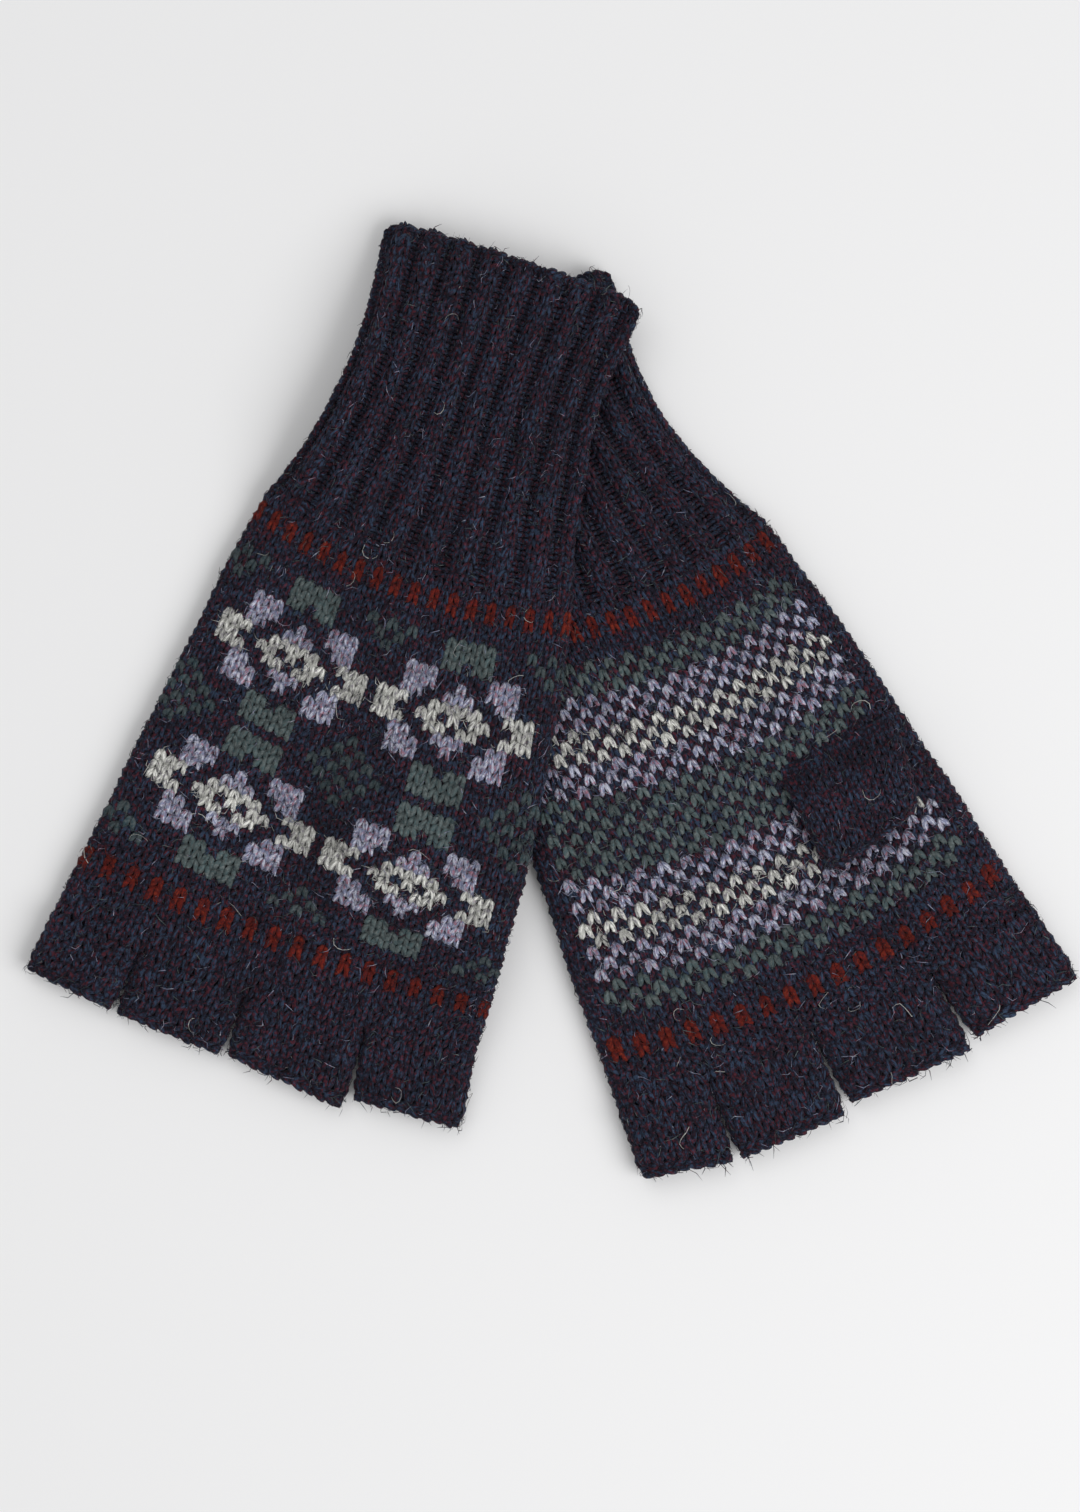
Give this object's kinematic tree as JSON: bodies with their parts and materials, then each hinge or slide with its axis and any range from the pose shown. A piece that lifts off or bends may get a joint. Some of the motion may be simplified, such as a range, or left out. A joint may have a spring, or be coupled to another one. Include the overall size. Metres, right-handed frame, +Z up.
{
  "type": "pair of fingerless gloves",
  "caption": "Pair of fingerless knitted gloves in patterned stranded knitting with long ribbed cuffs, laid in a V with one cuff on the other.",
  "frame": {"origin": "middle of the pair's outline on the table, under the gloves", "axes": "+X to the viewer's right, from the right glove's fingers to the left glove's; +Y from the finger edges towards the cuffs; +Z up"},
  "size_m": [0.2782, 0.2544, 0.0174],
  "materials": {
    "patterned_knit": "heathered wool in stranded colour patterns, matt and slightly hairy",
    "plain_knit": "heathered wool in plain stocking stitch, matt and slightly hairy",
    "rib_knit": "heathered wool rib, matt and slightly hairy",
    "edge_knit": "heathered wool chain edge, matt"
  },
  "bodies": {
    "left_glove": {"left_hand": "patterned_knit", "left_cuff_rib": "rib_knit", "left_cuff_turn_back": "rib_knit", "left_cuff_cast_on_edge": "edge_knit"},
    "right_glove": {"right_hand": "patterned_knit", "right_cuff_rib": "rib_knit"},
    "right_turned_cuff": {"right_cuff_turn_back": "rib_knit", "right_cuff_cast_on_edge": "edge_knit"},
    "left_little_finger": {"left_little_finger": "plain_knit", "left_little_bound_off_edge": "edge_knit"},
    "left_ring_finger": {"left_ring_finger": "plain_knit", "left_ring_bound_off_edge": "edge_knit"},
    "left_middle_finger": {"left_middle_finger": "plain_knit", "left_middle_bound_off_edge": "edge_knit"},
    "left_index_finger": {"left_index_finger": "plain_knit", "left_index_bound_off_edge": "edge_knit"},
    "left_thumb": {"left_thumb": "plain_knit", "left_thumb_bound_off_edge": "edge_knit"},
    "right_little_finger": {"right_little_finger": "plain_knit", "right_little_bound_off_edge": "edge_knit"},
    "right_ring_finger": {"right_ring_finger": "plain_knit", "right_ring_bound_off_edge": "edge_knit"},
    "right_middle_finger": {"right_middle_finger": "plain_knit", "right_middle_bound_off_edge": "edge_knit"},
    "right_index_finger": {"right_index_finger": "plain_knit", "right_index_bound_off_edge": "edge_knit"},
    "right_thumb": {"right_thumb": "plain_knit", "right_thumb_bound_off_edge": "edge_knit"}
  },
  "joints": [
    {"name": "right_glove_lift", "type": "slide", "parent": "left_glove", "child": "right_glove", "axis": [0, 0, 1], "range_m": [0, 0.12]},
    {"name": "left_little_finger_fold", "type": "hinge", "parent": "left_glove", "child": "left_little_finger", "pos_m": [0.033, -0.10622, 0.0084], "axis": [-0.9493, -0.3144, 0], "range_deg": [0, 90]},
    {"name": "left_ring_finger_fold", "type": "hinge", "parent": "left_glove", "child": "left_ring_finger", "pos_m": [0.05843, -0.09662, 0.0084], "axis": [-0.9229, -0.3851, 0], "range_deg": [0, 90]},
    {"name": "left_middle_finger_fold", "type": "hinge", "parent": "left_glove", "child": "left_middle_finger", "pos_m": [0.0874, -0.08256, 0.0084], "axis": [-0.8776, -0.4794, 0], "range_deg": [0, 90]},
    {"name": "left_index_finger_fold", "type": "hinge", "parent": "left_glove", "child": "left_index_finger", "pos_m": [0.11583, -0.06531, 0.0084], "axis": [-0.8283, -0.5602, 0], "range_deg": [0, 90]},
    {"name": "left_thumb_swing", "type": "hinge", "parent": "left_glove", "child": "left_thumb", "pos_m": [0.07526, -0.0128, 0.00855], "axis": [-0.8949, -0.4462, 0], "range_deg": [0, 90]},
    {"name": "right_little_finger_fold", "type": "hinge", "parent": "right_glove", "child": "right_little_finger", "pos_m": [-0.11997, -0.06297, 0.0084], "axis": [-0.8904, 0.4552, 0], "range_deg": [0, 90]},
    {"name": "right_ring_finger_fold", "type": "hinge", "parent": "right_glove", "child": "right_ring_finger", "pos_m": [-0.09528, -0.07433, 0.0084], "axis": [-0.9222, 0.3867, 0], "range_deg": [0, 90]},
    {"name": "right_middle_finger_fold", "type": "hinge", "parent": "right_glove", "child": "right_middle_finger", "pos_m": [-0.06493, -0.08509, 0.0084], "axis": [-0.9576, 0.2883, 0], "range_deg": [0, 90]},
    {"name": "right_index_finger_fold", "type": "hinge", "parent": "right_glove", "child": "right_index_finger", "pos_m": [-0.03268, -0.09323, 0.01156], "axis": [-0.9805, 0.1964, 0], "range_deg": [0, 90]},
    {"name": "right_thumb_swing", "type": "hinge", "parent": "right_glove", "child": "right_thumb", "pos_m": [-0.02378, -0.02746, 0.00805], "axis": [0.9461, -0.3239, 0], "range_deg": [0, 90]},
    {"name": "right_cuff_turn_back_fold", "type": "hinge", "parent": "right_glove", "child": "right_turned_cuff", "pos_m": [-0.02152, 0.0764, 0.0174], "axis": [0.9461, -0.3239, 0], "range_deg": [0, 165]}
  ]
}
